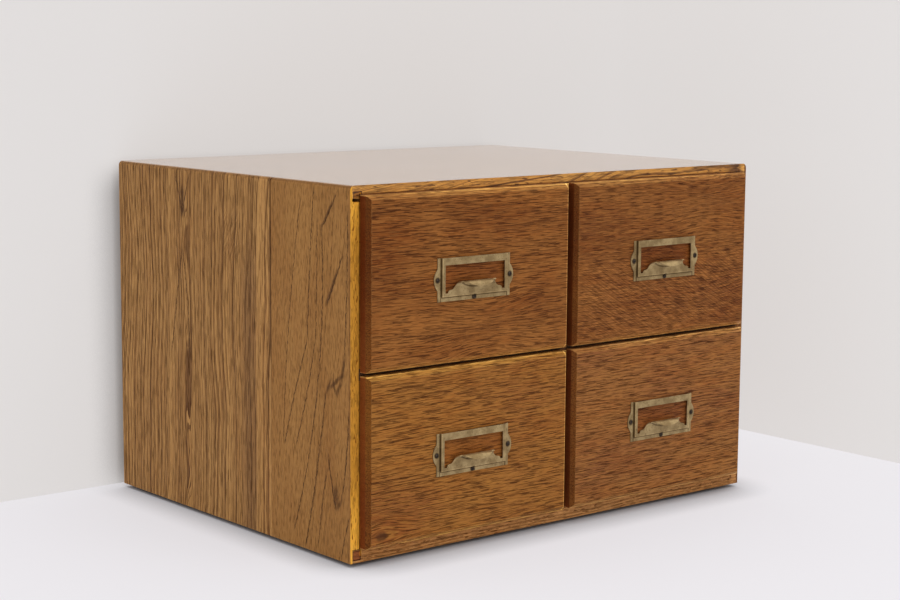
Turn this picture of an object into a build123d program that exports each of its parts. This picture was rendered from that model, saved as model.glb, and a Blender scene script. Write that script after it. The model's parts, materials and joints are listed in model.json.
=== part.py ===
from build123d import *
import math
import os

# Oak card file for a desk top: a case with two columns of two lipped drawers.
# X runs to the right, Y to the back and Z up. The origin is the middle of the whole
# object's box, at the level of the surface that it stands on. Sizes are in millimetres.

os.makedirs("parts", exist_ok=True)

# Case
case_width = 527.0
case_depth = 410.0
case_height = 349.25
side_thickness = 12.7
top_thickness = 12.7
bottom_thickness = 15.9
divider_thickness = 11.1
housing_depth = 3.2  # grooves that hold the divider and the dust frames
top_edge_radius = 4.8
front_board_width = 127.0  # front board of each side, the rest is the rear board
open_seam_gap = 0.7  # shrinkage gap at the top of the left side's glue line
open_seam_length = 200.0

# Lock joint at the four case corners, measured from the outer faces
lock_wall = 2.4
lock_tongue_width = 7.9
lock_tongue_height = 12.0
lock_skin = 6.2
top_slot_room = 2.6
bottom_slot_room = 0.8

# Back panel, let into the case and nailed to it
back_thickness = 6.35
back_lap = 6.4
back_brads_across = 3
back_brads_up = 2

# Dust frames between the rows of drawers
frame_thickness = 11.1
rail_width = 45.0
runner_width = 38.0
frame_tongue_length = 6.0
frame_tongue_thickness = 3.2

# Base strips under the case, set in from its edges
base_height = 4.0
base_width = 16.0
base_inset = 11.0
base_brads_across = 4
base_brads_deep = 2
base_brad_end = 30.0  # from the end of a strip to its first brad

# Drawer fronts
lip_side = 2.0
lip_top = 3.1
lip_bottom = 2.65
front_proud = 12.7
front_inside = 6.35
front_chamfer = 4.1

# Drawer boxes
side_clearance = 0.75
top_clearance = 1.2
running_gap = 0.3
seat_gap = 0.3  # between the lips and the case when shut
box_rear_gap = 11.65  # from the end of the box to the back panel
box_side = 9.5
box_back = 9.5
box_back_setback = 9.5
box_bottom = 4.8
bottom_groove_height = 6.4
bottom_groove_depth = 4.8
groove_room = 0.3
corner_tongue_thickness = 3.2
corner_tongue_length = 4.5
back_housing_depth = 3.2
rim_radius = 2.5
bottom_brads = 3

# Label-holder pulls, stamped from sheet
pull_width = 88.9
pull_height = 41.0
pull_drop = 1.5  # below the middle of the drawer front
sheet = 0.9
card_slot = 1.9
flange_width = 4.4
window_width = 73.0
window_height = 26.4
window_rise = 7.8  # from the plate's lower edge to the window
stamp_radius = 0.5
lobe_height = 20.0
lobe_reach = 4.3
lobe_blend = 4.0
tab_width = 66.4
tab_shoulder = 3.0
crest_width = 36.6
crest_height = 11.0  # from the window's lower edge to the top of the roll
roll_radius = 5.7
roll_drop = 5.2  # from the crest to the lowest point of the rolled edge
trim_room = 0.5

# Screws of the pulls, and square brads everywhere else
pull_screw_radius = 1.15
shank_sides = 12
pull_screw_length = 11.0
pull_screw_head_radius = 2.3
pull_screw_head_height = 1.5
pull_screw_rise = 2.2  # from the plate's lower edge to the lower screw
pull_screw_relief = 2.75  # radius kept flat on the plate around a screw
brad_width = 1.4
brad_length = 15.0
fastener_room = 0.05
hole_end_room = 0.5
overcut = 1.0  # how far a cut starts outside the piece

# Places that follow from the sizes above
half_width = case_width / 2
roll_front = math.sqrt(roll_radius**2 - (roll_radius - roll_drop) ** 2)
pull_reach = card_slot + roll_radius + roll_front
total_reach = front_proud + pull_reach
front_y = (total_reach - case_depth) / 2
rear_y = front_y + case_depth
panel_y = rear_y - back_thickness
case_floor = base_height
case_top = case_floor + case_height
opening_width = (case_width - 2 * side_thickness - divider_thickness) / 2
opening_height = (case_height - top_thickness - bottom_thickness - frame_thickness) / 2
lower_floor = case_floor + bottom_thickness
frame_floor = lower_floor + opening_height
upper_floor = frame_floor + frame_thickness
column_x = (opening_width + divider_thickness) / 2
box_length = case_depth - back_thickness - box_rear_gap  # from the front of the case
stub_x = lock_wall + lock_tongue_width


def block(x, y, z):
    # A rectangular solid between two limits on each axis.
    size = Box(x[1] - x[0], y[1] - y[0], z[1] - z[0])
    return Pos((x[0] + x[1]) / 2, (y[0] + y[1]) / 2, (z[0] + z[1]) / 2) * size


def bar_along_y(points, y_start, y_end):
    # A profile drawn in X and Z, drawn out along Y.
    profile = make_face(Polyline([(x, 0, z) for x, z in points], close=True))
    return Pos(0, y_start, 0) * extrude(profile, y_end - y_start, dir=(0, 1, 0))


def evenly(start, end, count):
    return [start + (end - start) * step / (count - 1) for step in range(count)]


def save(name, shape):
    shape.label = name
    export_step(shape, f"parts/{name}.step")


# Fasteners, each with its axis on Z, its seat at the origin and its point down


def pull_screw():
    upwards = (Align.CENTER, Align.CENTER, Align.MIN)
    head = Cylinder(pull_screw_head_radius, pull_screw_head_height, align=upwards)
    return head + shank(pull_screw_length, 0)


def shank(length, room):
    return extrude(RegularPolygon(pull_screw_radius + room, shank_sides), -length)


def brad(room=0.0):
    # A headless square brad, or with some room the hole that it sits in.
    half = brad_width / 2 + room
    length = brad_length + (hole_end_room if room else 0)
    return block((-half, half), (-half, half), (-length, 0))


def brads(places):
    return Compound(children=[place * brad() for place in places])


def without_brads(shape, places):
    return shape - [place * brad(fastener_room) for place in places]


# Back panel and its brads

panel_x = half_width - side_thickness + back_lap
panel_floor = lower_floor - back_lap
panel_top = case_top - top_thickness + back_lap


def back_panel_blank():
    return block((-panel_x, panel_x), (panel_y, rear_y), (panel_floor, panel_top))


def back_brad_places():
    edge_x = panel_x - back_lap / 2
    low = panel_floor + back_lap / 2
    high = panel_top - back_lap / 2
    lower_middle = lower_floor + opening_height / 2
    upper_middle = upper_floor + opening_height / 2
    spots = [(x, z) for x in evenly(-column_x, column_x, back_brads_across) for z in (low, high)]
    spots += [(x, z) for x in (-edge_x, edge_x) for z in evenly(lower_middle, upper_middle, back_brads_up)]
    return [Location((x, rear_y, z), (-90, 0, 0)) for x, z in spots]


# Case boards


def case_rounding():
    # What the rounded long edges of the top take away, on both sides.
    over = top_edge_radius + overcut
    corner = block((0, over), (front_y - overcut, rear_y + overcut), (0, over))
    rod = Rot(90, 0, 0) * Cylinder(top_edge_radius, case_depth + 4 * overcut)
    corner -= Pos(0, (front_y + rear_y) / 2, 0) * rod
    right = Pos(half_width - top_edge_radius, 0, case_top - top_edge_radius) * corner
    return [right, mirror(right, about=Plane.YZ)]


def side_blank():
    # The left side in one width, with the slots of the lock joints at both ends.
    slot_top = case_top - lock_tongue_height - top_slot_room
    slot_bottom = case_floor + lock_tongue_height + bottom_slot_room
    profile = [
        (0, case_floor),
        (0, case_top),
        (lock_wall, case_top),
        (lock_wall, slot_top),
        (stub_x, slot_top),
        (stub_x, case_top - lock_skin),
        (side_thickness, case_top - lock_skin),
        (side_thickness, case_floor + lock_skin),
        (stub_x, case_floor + lock_skin),
        (stub_x, slot_bottom),
        (lock_wall, slot_bottom),
        (lock_wall, case_floor),
    ]
    side = bar_along_y([(x - half_width, z) for x, z in profile], front_y, rear_y)
    housing = block(
        (-half_width + side_thickness - housing_depth, -half_width + side_thickness + overcut),
        (front_y - overcut, panel_y),
        (frame_floor, upper_floor),
    )
    return side - housing


def seam_cut(gap):
    # Everything in front of the glue line, which leans back to open the seam at the top.
    seam_y = front_y + front_board_width
    with BuildPart() as cut:
        with BuildSketch(Plane.YZ):
            with BuildLine():
                Polyline(
                    (front_y - overcut, case_floor - overcut),
                    (seam_y, case_floor - overcut),
                    (seam_y, case_top - open_seam_length),
                    (seam_y - gap, case_top + overcut),
                    (front_y - overcut, case_top + overcut),
                    close=True,
                )
            make_face()
        extrude(amount=half_width + overcut, both=True)
    return cut.part


def side_boards(hand):
    # Front and rear boards of a side. Only the left side's seam has opened.
    side = side_blank()
    gap = open_seam_gap if hand == "left" else 0
    if hand == "right":
        side = mirror(side, about=Plane.YZ)
    side = without_brads(side - back_panel_blank() - case_rounding(), back_brad_places())
    return side & seam_cut(gap), side - seam_cut(0)


def lock_board(outer, inner, skin, tongue):
    # The top or the bottom, with a tongue at each end and a groove beside it for the stub.
    end = half_width - lock_wall
    groove = half_width - stub_x
    shoulder = half_width - side_thickness
    half = [(end, outer), (end, tongue), (groove, tongue), (groove, skin), (shoulder, skin), (shoulder, inner)]
    return bar_along_y([(-x, z) for x, z in half] + half[::-1], front_y, rear_y)


def divider_housing(low, high):
    return block((-divider_thickness / 2, divider_thickness / 2), (front_y - overcut, panel_y), (low, high))


def top_board():
    inner = case_top - top_thickness
    board = lock_board(case_top, inner, case_top - lock_skin, case_top - lock_tongue_height)
    board = board - divider_housing(inner - overcut, inner + housing_depth)
    return without_brads(board - back_panel_blank() - case_rounding(), back_brad_places())


def bottom_board():
    board = lock_board(case_floor, lower_floor, case_floor + lock_skin, case_floor + lock_tongue_height)
    board = board - divider_housing(lower_floor - housing_depth, lower_floor + overcut)
    return without_brads(board - back_panel_blank(), back_brad_places() + base_brad_places())


def centre_divider():
    low = lower_floor - housing_depth
    high = case_top - top_thickness + housing_depth
    divider = divider_housing(low, high) & block((-half_width, half_width), (front_y, panel_y), (low, high))
    for side in (-1, 1):
        face = side * divider_thickness / 2
        x = sorted((face - side * housing_depth, face + side * overcut))
        divider = divider - block(x, (front_y - overcut, panel_y + overcut), (frame_floor, upper_floor))
    return without_brads(divider, back_brad_places())


# Dust frames, one to a column: two rails with grooved edges and two tongued runners

rear_rail_y = panel_y - rail_width
front_rail_y = front_y + rail_width
tongue_z = (frame_floor + upper_floor) / 2
tongue_span = (tongue_z - frame_tongue_thickness / 2, tongue_z + frame_tongue_thickness / 2)
frame_x = opening_width / 2 + housing_depth


def frame_rail(y, groove_y):
    rail = block((-frame_x, frame_x), y, (frame_floor, upper_floor))
    groove = block((-frame_x - overcut, frame_x + overcut), groove_y, tongue_span)
    return rail - groove


def front_rail():
    end = front_rail_y
    return frame_rail((front_y, end), (end - frame_tongue_length - groove_room, end + overcut))


def rear_rail():
    start = rear_rail_y
    return frame_rail((start, panel_y), (start - overcut, start + frame_tongue_length + groove_room))


def runner(side):
    x = sorted((side * frame_x, side * (frame_x - runner_width)))
    runner_body = block(x, (front_rail_y, rear_rail_y), (frame_floor, upper_floor))
    tongue_y = (front_rail_y - frame_tongue_length, rear_rail_y + frame_tongue_length)
    return runner_body + block(x, tongue_y, tongue_span)


# Base strips and their brads

base_x = half_width - base_inset
base_front = front_y + base_inset
base_rear = rear_y - base_inset


def base_brad_places():
    places = []
    end = base_x - base_brad_end
    for y in (base_front + base_width / 2, base_rear - base_width / 2):
        places += [Location((x, y, 0), (180, 0, 0)) for x in evenly(-end, end, base_brads_across)]
    low = base_front + base_width + base_brad_end
    high = base_rear - base_width - base_brad_end
    for x in (-base_x + base_width / 2, base_x - base_width / 2):
        places += [Location((x, y, 0), (180, 0, 0)) for y in evenly(low, high, base_brads_deep)]
    return places


def base_strips():
    across = (-base_x, base_x)
    between = (base_front + base_width, base_rear - base_width)
    height = (0, base_height)
    blanks = {
        "base_strip_front": block(across, (base_front, base_front + base_width), height),
        "base_strip_rear": block(across, (base_rear - base_width, base_rear), height),
        "base_strip_left": block((-base_x, -base_x + base_width), between, height),
        "base_strip_right": block((base_x - base_width, base_x), between, height),
    }
    return {name: without_brads(blank, base_brad_places()) for name, blank in blanks.items()}


# Label-holder pull: X across, Z up, its back on the plane Y = 0 and its front towards -Y

window_low = window_rise - pull_height / 2
crest_z = window_low + crest_height
roll_z = crest_z - roll_radius
roll_y = card_slot + roll_radius


def facing(sketch, start, end):
    # A sketch in X and Z made solid between two distances in front of the plane Y = 0.
    return Pos(0, -start, 0) * extrude(Plane.XZ * sketch, end - start)


def plate_outline():
    # A rectangle with a rounded lobe at each side, blended into the straight edges.
    lobe_radius = ((lobe_height / 2) ** 2 + lobe_reach**2) / (2 * lobe_reach)
    centre = pull_width / 2 + lobe_reach - lobe_radius
    outline = Rectangle(pull_width, pull_height)
    for side in (-1, 1):
        outline += Pos(side * centre, 0) * Circle(lobe_radius)
    corners = [v for v in outline.vertices() if abs(v.Y) < lobe_height / 2]
    return fillet(corners, lobe_blend)


def raised_panel(inset, height_above, lower_inset):
    # The part of the plate that stands forward for the card, open at its upper edge.
    width = pull_width - 2 * (flange_width + inset)
    low = -pull_height / 2 + flange_width + lower_inset
    high = pull_height / 2 + height_above
    return Pos(0, (low + high) / 2) * Rectangle(width, high - low)


def tab_outline():
    # Front view of the finger tab: quarter-round shoulders, then ogees up to the crest.
    with BuildSketch() as outline:
        with BuildLine():
            half_tab = tab_width / 2
            half_crest = crest_width / 2
            shoulder_z = window_low + tab_shoulder
            plateau_z = crest_z + trim_room
            root_z = window_low - sheet
            shoulder = Line((-half_tab, root_z), (-half_tab, window_low))
            arc = TangentArc(shoulder @ 1, (-half_tab + tab_shoulder, shoulder_z), tangent=(0, 1))
            rise = Spline(arc @ 1, (-half_crest, plateau_z), tangents=[(1, 0), (1, 0)])
            crest = Line(rise @ 1, (half_crest, plateau_z))
            fall = Spline(crest @ 1, (half_tab - tab_shoulder, shoulder_z), tangents=[(1, 0), (1, 0)])
            end = TangentArc(fall @ 1, (half_tab, window_low), tangent=(1, 0))
            root = Line(end @ 1, (half_tab, root_z))
            Line(root @ 1, shoulder @ 0)
        make_face()
    return outline.sketch


def roll_outline():
    # Front view of the rolled edge in front of the crest: a crescent.
    with BuildSketch() as outline:
        with BuildLine():
            half_crest = crest_width / 2
            plateau_z = crest_z + trim_room
            crest = Line((-half_crest, plateau_z), (half_crest, plateau_z))
            ThreePointArc(crest @ 1, (0, crest_z - roll_drop), crest @ 0)
        make_face()
    return outline.sketch


def finger_tab():
    # The sheet rises from the window's lower edge and rolls forward over half a circle.
    inner_radius = roll_radius - sheet
    with BuildPart() as strip:
        with BuildSketch(Plane.YZ):
            with BuildLine():
                back = Line((-card_slot, window_low - sheet), (-card_slot, roll_z))
                outer = CenterArc((-roll_y, roll_z), roll_radius, 0, 180)
                Line(outer @ 1, (-roll_y - inner_radius, roll_z))
                inner = CenterArc((-roll_y, roll_z), inner_radius, 180, -180)
                face = Line(inner @ 1, (-card_slot - sheet, window_low - sheet))
                Line(face @ 1, back @ 0)
            make_face()
        extrude(amount=tab_width / 2 + overcut, both=True)
    rising = facing(tab_outline(), 0, roll_y)
    rolling = facing(roll_outline(), roll_y, roll_y + roll_radius + overcut)
    return (strip.part & rising) + (strip.part & rolling)


def pull_screw_places():
    low = -pull_height / 2 + pull_screw_rise
    spots = [(-pull_width / 2, 0), (pull_width / 2, 0), (0, low)]
    return [Location((x, -sheet, z), (90, 0, 0)) for x, z in spots]


def pull_plate():
    front = card_slot + sheet
    plate = facing(plate_outline(), 0, sheet) + facing(raised_panel(0, 0, 0), 0, front)
    front_face = plate.faces().sort_by(Axis.Y)[0]
    step_edges = [e for e in front_face.edges() if e.center().Z < pull_height / 2 - overcut]
    plate = fillet(step_edges, stamp_radius)
    plate -= facing(raised_panel(sheet, overcut, sheet), -overcut, card_slot)
    window = Pos(0, window_low + window_height / 2) * Rectangle(window_width, window_height)
    plate -= facing(window, -overcut, front + overcut)
    upwards = (Align.CENTER, Align.CENTER, Align.MIN)
    for place in pull_screw_places():
        plate -= place * shank(front, fastener_room)
        plate -= place * Cylinder(pull_screw_relief, 2 * front, align=upwards)
    return plate + finger_tab()


# Drawer, seen from its own opening: X from the middle, Y from the case's front edge
# and Z from the floor of the opening

box_x = opening_width / 2 - side_clearance
box_low = running_gap
box_high = opening_height - top_clearance
inside_x = box_x - box_side
groove = (box_low + bottom_groove_height, box_low + bottom_groove_height + box_bottom)
corner_tongue = (
    box_x - (box_side + corner_tongue_thickness) / 2,
    box_x - (box_side - corner_tongue_thickness) / 2,
)
box_back_y = (box_length - box_back_setback - box_back, box_length - box_back_setback)
front_middle = (opening_height + lip_top - lip_bottom) / 2
pull_place = Pos(0, -front_proud, front_middle - pull_drop)


def both_sides(x, y, z):
    return [block(sorted((side * x[0], side * x[1])), y, z) for side in (-1, 1)]


def drawer_front():
    # A lip all round that closes on the case, and a thicker middle that enters the opening.
    lip_x = opening_width / 2 + lip_side
    lip = block((-lip_x, lip_x), (-front_proud, -seat_gap), (-lip_bottom, opening_height + lip_top))
    lip = chamfer(lip.faces().sort_by(Axis.Y)[0].edges(), front_chamfer)
    front = lip + block((-box_x, box_x), (-seat_gap, front_inside), (box_low, box_high))
    corner_y = (front_inside - corner_tongue_length - groove_room, front_inside + overcut)
    for cut in both_sides(corner_tongue, corner_y, (box_low - overcut, box_high + overcut)):
        front -= cut
    bottom_x = inside_x + bottom_groove_depth
    front -= block((-bottom_x, bottom_x), (front_inside - bottom_groove_depth, front_inside + overcut), groove)
    for place in pull_screw_places():
        front -= pull_place * place * shank(pull_screw_length + hole_end_room, fastener_room)
    return front


def drawer_side():
    # The right side. Its upper edge is rounded, and it is grooved for the bottom and the back.
    side = block((inside_x, box_x), (front_inside, box_length), (box_low, box_high))
    upper = [e for e in side.edges().filter_by(Axis.Y) if e.center().Z > box_high - overcut]
    side = fillet(upper, rim_radius)
    tongue_y = (front_inside - corner_tongue_length, front_inside + overcut)
    side += block(corner_tongue, tongue_y, (box_low, box_high - rim_radius))
    side -= block((inside_x - overcut, inside_x + bottom_groove_depth), (0, box_length + overcut), groove)
    back_x = (inside_x - overcut, inside_x + back_housing_depth)
    side -= block(back_x, box_back_y, (groove[1], box_high + overcut))
    return side


def drawer_back():
    back_x = inside_x + back_housing_depth
    back = block((-back_x, back_x), box_back_y, (groove[1], box_high - rim_radius))
    return without_brads(back, bottom_brad_places())


def drawer_bottom():
    bottom_x = inside_x + bottom_groove_depth - groove_room
    start = front_inside - bottom_groove_depth + groove_room
    bottom = block((-bottom_x, bottom_x), (start, box_length), groove)
    return without_brads(bottom, bottom_brad_places())


def bottom_brad_places():
    # Up through the bottom into the lower edge of the back.
    reach = inside_x / 2
    middle = sum(box_back_y) / 2
    return [Location((x, middle, groove[0]), (180, 0, 0)) for x in evenly(-reach, reach, bottom_brads)]


# Write the case

for hand in ("left", "right"):
    front_board, rear_board = side_boards(hand)
    save(f"{hand}_side_front_board", front_board)
    save(f"{hand}_side_rear_board", rear_board)
save("top_board", top_board())
save("bottom_board", bottom_board())
save("centre_divider", centre_divider())
save("back_panel", without_brads(back_panel_blank(), back_brad_places()))
save("back_panel_brads", brads(back_brad_places()))
for name, strip in base_strips().items():
    save(name, strip)
save("base_strip_brads", brads(base_brad_places()))
for hand, side in (("left", -1), ("right", 1)):
    column = Pos(side * column_x, 0, 0)
    save(f"{hand}_dust_frame_front_rail", column * front_rail())
    save(f"{hand}_dust_frame_rear_rail", column * rear_rail())
    save(f"{hand}_dust_frame_outer_runner", column * runner(side))
    save(f"{hand}_dust_frame_inner_runner", column * runner(-side))

# Write the drawers

drawer_pieces = {
    "front": drawer_front(),
    "left_side": mirror(drawer_side(), about=Plane.YZ),
    "right_side": drawer_side(),
    "back": drawer_back(),
    "bottom": drawer_bottom(),
    "pull": pull_place * pull_plate(),
    "pull_screws": Compound(children=[pull_place * place * pull_screw() for place in pull_screw_places()]),
    "bottom_brads": brads(bottom_brad_places()),
}
for row, floor in (("top", upper_floor), ("bottom", lower_floor)):
    for hand, side in (("left", -1), ("right", 1)):
        place = Pos(side * column_x, front_y, floor)
        for piece, shape in drawer_pieces.items():
            save(f"{row}_{hand}_drawer_{piece}", place * shape)
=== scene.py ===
import bpy
import bmesh
import json
import math
from mathutils import Matrix, Vector

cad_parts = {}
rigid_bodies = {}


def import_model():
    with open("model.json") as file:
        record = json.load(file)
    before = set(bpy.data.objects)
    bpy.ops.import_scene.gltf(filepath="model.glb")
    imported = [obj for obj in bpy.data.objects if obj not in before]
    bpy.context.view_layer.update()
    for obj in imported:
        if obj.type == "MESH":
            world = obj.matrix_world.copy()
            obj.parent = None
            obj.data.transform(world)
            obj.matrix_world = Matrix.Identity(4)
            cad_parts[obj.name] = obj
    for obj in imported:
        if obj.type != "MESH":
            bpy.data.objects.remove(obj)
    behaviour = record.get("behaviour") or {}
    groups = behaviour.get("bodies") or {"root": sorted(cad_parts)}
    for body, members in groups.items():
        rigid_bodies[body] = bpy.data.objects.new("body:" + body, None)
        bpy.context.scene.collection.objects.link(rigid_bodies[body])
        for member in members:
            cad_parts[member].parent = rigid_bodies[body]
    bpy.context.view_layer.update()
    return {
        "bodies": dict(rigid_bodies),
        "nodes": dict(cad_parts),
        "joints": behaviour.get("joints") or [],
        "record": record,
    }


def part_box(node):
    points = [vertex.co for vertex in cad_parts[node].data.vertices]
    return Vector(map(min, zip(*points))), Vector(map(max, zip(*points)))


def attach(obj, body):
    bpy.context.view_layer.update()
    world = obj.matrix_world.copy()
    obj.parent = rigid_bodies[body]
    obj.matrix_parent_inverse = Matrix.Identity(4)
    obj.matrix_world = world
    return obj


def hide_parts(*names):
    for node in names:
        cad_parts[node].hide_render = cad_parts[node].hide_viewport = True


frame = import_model()
nodes = frame["nodes"]
drawers = [f"{row}_{hand}_drawer" for row in ("top", "bottom") for hand in ("left", "right")]


def paint(red, green, blue):
    # a colour as a colour chart gives it, 0 to 255, turned into Blender's linear values
    values = [channel / 255 for channel in (red, green, blue)]
    linear = [v / 12.92 if v <= 0.04045 else ((v + 0.055) / 1.055) ** 2.4 for v in values]
    return (*linear, 1.0)


def tint(red, green, blue):
    # what a colour is multiplied by
    return (red, green, blue, 1.0)


# small helpers for nodes, which go into the tree on the bench

bench = {}


def feed(source, target):
    # a socket is linked, and a plain value is typed in
    if isinstance(source, bpy.types.NodeSocket):
        bench["tree"].links.new(source, target)
    else:
        target.default_value = source


def addNode(kind, values=(), **settings):
    # the values go to the node's inputs, by name or in order
    node = bench["tree"].nodes.new(kind)
    for name, value in settings.items():
        setattr(node, name, value)
    for key, value in values.items() if isinstance(values, dict) else enumerate(values):
        feed(value, node.inputs[key])
    return node


def calc(operation, first, second=0.0, clamp=False):
    return addNode("ShaderNodeMath", (first, second), operation=operation, use_clamp=clamp).outputs[0]


def add(first, second):
    return calc("ADD", first, second)


def less(first, second):
    return calc("SUBTRACT", first, second)


def times(first, second):
    return calc("MULTIPLY", first, second)


def distance(first, second):
    return calc("SQRT", add(times(first, first), times(second, second)))


def vectorCalc(operation, first, second):
    return addNode("ShaderNodeVectorMath", (first, second), operation=operation).outputs


def shift(vector, offset):
    return vectorCalc("ADD", vector, offset)[0]


def join(x, y, z):
    return addNode("ShaderNodeCombineXYZ", (x, y, z)).outputs[0]


def split(vector):
    return addNode("ShaderNodeSeparateXYZ", (vector,)).outputs


def ramp(value, low, high, start=0.0, end=1.0):
    values = {"Value": value, "From Min": low, "From Max": high, "To Min": start, "To Max": end}
    return addNode("ShaderNodeMapRange", values, interpolation_type="SMOOTHSTEP").outputs[0]


def fadeOut(value, low, high):
    return ramp(value, low, high, 1.0, 0.0)


def noise(vector, scale=1.0, detail=2.0, roughness=0.5):
    # the scale is one number, or one for each direction
    if not isinstance(scale, float):
        vector, scale = vectorCalc("MULTIPLY", vector, scale)[0], 1.0
    values = {"Vector": vector, "Scale": scale, "Detail": detail, "Roughness": roughness}
    return addNode("ShaderNodeTexNoise", values).outputs[0]


def sway(vector, scale, detail=2.0):
    # noise that swings either side of nothing
    return less(noise(vector, scale, detail), 0.5)


def blendColour(amount, first, second, mode="MIX"):
    values = {0: amount, 6: first, 7: second}
    return addNode("ShaderNodeMix", values, data_type="RGBA", blend_type=mode).outputs[2]


def mixShaders(amount, first, second):
    return addNode("ShaderNodeMixShader", (amount, first, second)).outputs[0]


def seenDirectly():
    # 1 for what the camera sees, by itself or in a polished surface
    rays = addNode("ShaderNodeLightPath").outputs
    return calc("MAXIMUM", rays["Is Camera Ray"], rays["Is Glossy Ray"])


def addBump(shader, height, strength, depth):
    bump = addNode("ShaderNodeBump", {"Strength": strength, "Distance": depth, "Height": height})
    feed(bump.outputs[0], shader.inputs["Normal"])


def newGroup(name, inputs, outputs):
    # an input's kind follows from its first value
    tree = bench["tree"] = bpy.data.node_groups.new(name, "ShaderNodeTree")
    for label, value in inputs.items():
        kind = "NodeSocketVector" if isinstance(value, tuple) else "NodeSocketFloat"
        tree.interface.new_socket(label, in_out="INPUT", socket_type=kind).default_value = value
    for label in outputs:
        kind = "NodeSocketVector" if label.endswith("Point") else "NodeSocketFloat"
        tree.interface.new_socket(label, in_out="OUTPUT", socket_type=kind)
    source = tree.nodes.new("NodeGroupInput").outputs
    target = tree.nodes.new("NodeGroupOutput").inputs
    return tree, source, target


def placeGroup(group, **values):
    # puts a group into a material, with those of the values that it has an input for
    node = addNode("ShaderNodeGroup", node_tree=group)
    for socket in node.inputs:
        if socket.name in values:
            feed(values[socket.name], socket)
    return node.outputs


origin = (0.0, 0.0, 0.0)

# the grain of a board: x runs along it, y across it and z into its thickness

# waves to the metre in each direction, and where each mask starts and ends in its noise
grainWaves = dict(slow=(3.2, 7.0, 7.0), sink=(4.5, 5.0, 5.0), ripple=(22.0, 70.0, 70.0),
                  swell=(9.0, 0.0, 0.0), cloud=(5.0, 15.0, 15.0), blush=(14.0, 60.0, 60.0),
                  fibre=(160.0, 900.0, 900.0))
grainSteps = dict(gap=(0.42, 0.52), pore=(0.53, 0.57), streak=(0.5, 0.58), cloud=(0.32, 0.68),
                  blush=(0.46, 0.66))
# how far apart the noises are taken, for each seed and for each mask
seedSteps = (3.7, 1.9, 2.3)
grainShifts = dict(sink=(7.1, 3.3, 5.9), dash=(0.7, 2.9, 3.1), streak=(2.7, 5.3, 1.9))
# how the growth rings swell, waver and fade, and how strongly each differs from the next
ringShape = dict(swellLeast=0.35, swellMore=1.3, sinkShare=1.6, unevenPace=0.8, uneven=1.1, toneLead=0.06,
                 fadePower=1.5, riseFrom=0.94, toneLeast=0.6, toneMore=0.4, finePace=3.3, fineEnd=0.5,
                 streakPace=0.8)


def makeGrainGroup():
    tree, given, made = newGroup(
        "oakGrain",
        dict(boardPoint=origin, spacing=0.007, across=-0.3, depth=0.05, taper=0.0, drift=0.0, wander=0.02,
             ripple=0.003, flameAcross=0.0, flameWidth=0.008, flameHeight=0.0, softness=0.4, fineRings=0.4,
             broken=0.5, dashLength=0.014, poreLength=0.02, poreWidth=0.001, crowding=0.5, seed=0.0),
        ["ring", "pore", "streak", "cloud", "blush", "fibre", "ringTone"])
    seed, rule = given["seed"], ringShape
    point = shift(given["boardPoint"], join(*[times(seed, step) for step in seedSteps]))
    x, y, z = split(given["boardPoint"])
    slow = sway(point, grainWaves["slow"])
    sink = sway(shift(point, grainShifts["sink"]), grainWaves["sink"], detail=1.0)
    ripple = sway(point, grainWaves["ripple"])
    across = less(y, add(given["across"], times(x, given["drift"])))
    across = add(across, times(slow, given["wander"]))
    across = add(across, times(ripple, given["ripple"]))
    # a flame is where the rings sag in a narrow strip, which draws tips and lenses
    fromFlame = calc("DIVIDE", less(y, given["flameAcross"]), given["flameWidth"])
    bell = calc("EXPONENT", times(times(fromFlame, fromFlame), -1.0))
    swell = times(noise(point, grainWaves["swell"], detail=1.0), rule["swellMore"])
    swell = add(rule["swellLeast"], swell)
    across = add(across, times(times(bell, swell), given["flameHeight"]))
    depth = less(z, add(given["depth"], times(x, given["taper"])))
    depth = add(depth, times(times(sink, given["wander"]), rule["sinkShare"]))
    count = calc("DIVIDE", distance(across, depth), given["spacing"])
    pace = add(times(count, rule["unevenPace"]), seed)
    uneven = addNode("ShaderNodeTexNoise", {"W": pace, "Detail": 1.0}, noise_dimensions="1D").outputs[0]
    count = add(count, times(uneven, rule["uneven"]))
    share = calc("FRACT", count)
    ring = calc("FLOOR", add(count, rule["toneLead"]))
    tone = addNode("ShaderNodeTexWhiteNoise", {"W": ring}, noise_dimensions="1D").outputs[0]
    fade = calc("POWER", fadeOut(share, 0.0, given["softness"]), rule["fadePower"])
    line = calc("MAXIMUM", fade, ramp(share, rule["riseFrom"], 1.0))
    strength = add(rule["toneLeast"], times(tone, rule["toneMore"]))
    line = times(line, strength)
    fineShare = calc("FRACT", times(count, rule["finePace"]))
    fineLine = times(fadeOut(fineShare, 0.0, rule["fineEnd"]), given["fineRings"])
    line = calc("MAXIMUM", line, fineLine)
    perDash, perLength, perWidth = [
        calc("DIVIDE", 1.0, given[key]) for key in ("dashLength", "poreLength", "poreWidth")]

    def strokes(offset, perStroke):
        return noise(shift(point, offset), join(perStroke, perWidth, perWidth), detail=1.0)

    gaps = less(1.0, ramp(strokes(grainShifts["dash"], perDash), *grainSteps["gap"]))
    line = times(line, less(1.0, times(gaps, given["broken"])))
    pore = ramp(strokes(origin, perLength), *grainSteps["pore"])
    crowd = add(times(line, given["crowding"]), less(1.0, given["crowding"]))
    streak = strokes(grainShifts["streak"], times(perLength, rule["streakPace"]))
    masks = dict(
        ring=line, pore=times(pore, crowd), streak=ramp(streak, *grainSteps["streak"]),
        cloud=ramp(noise(point, grainWaves["cloud"], detail=3.0), *grainSteps["cloud"]),
        blush=ramp(noise(point, grainWaves["blush"]), *grainSteps["blush"]),
        fibre=noise(point, grainWaves["fibre"], detail=1.0), ringTone=tone)
    for name, value in masks.items():
        feed(value, made[name])
    return tree


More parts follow.
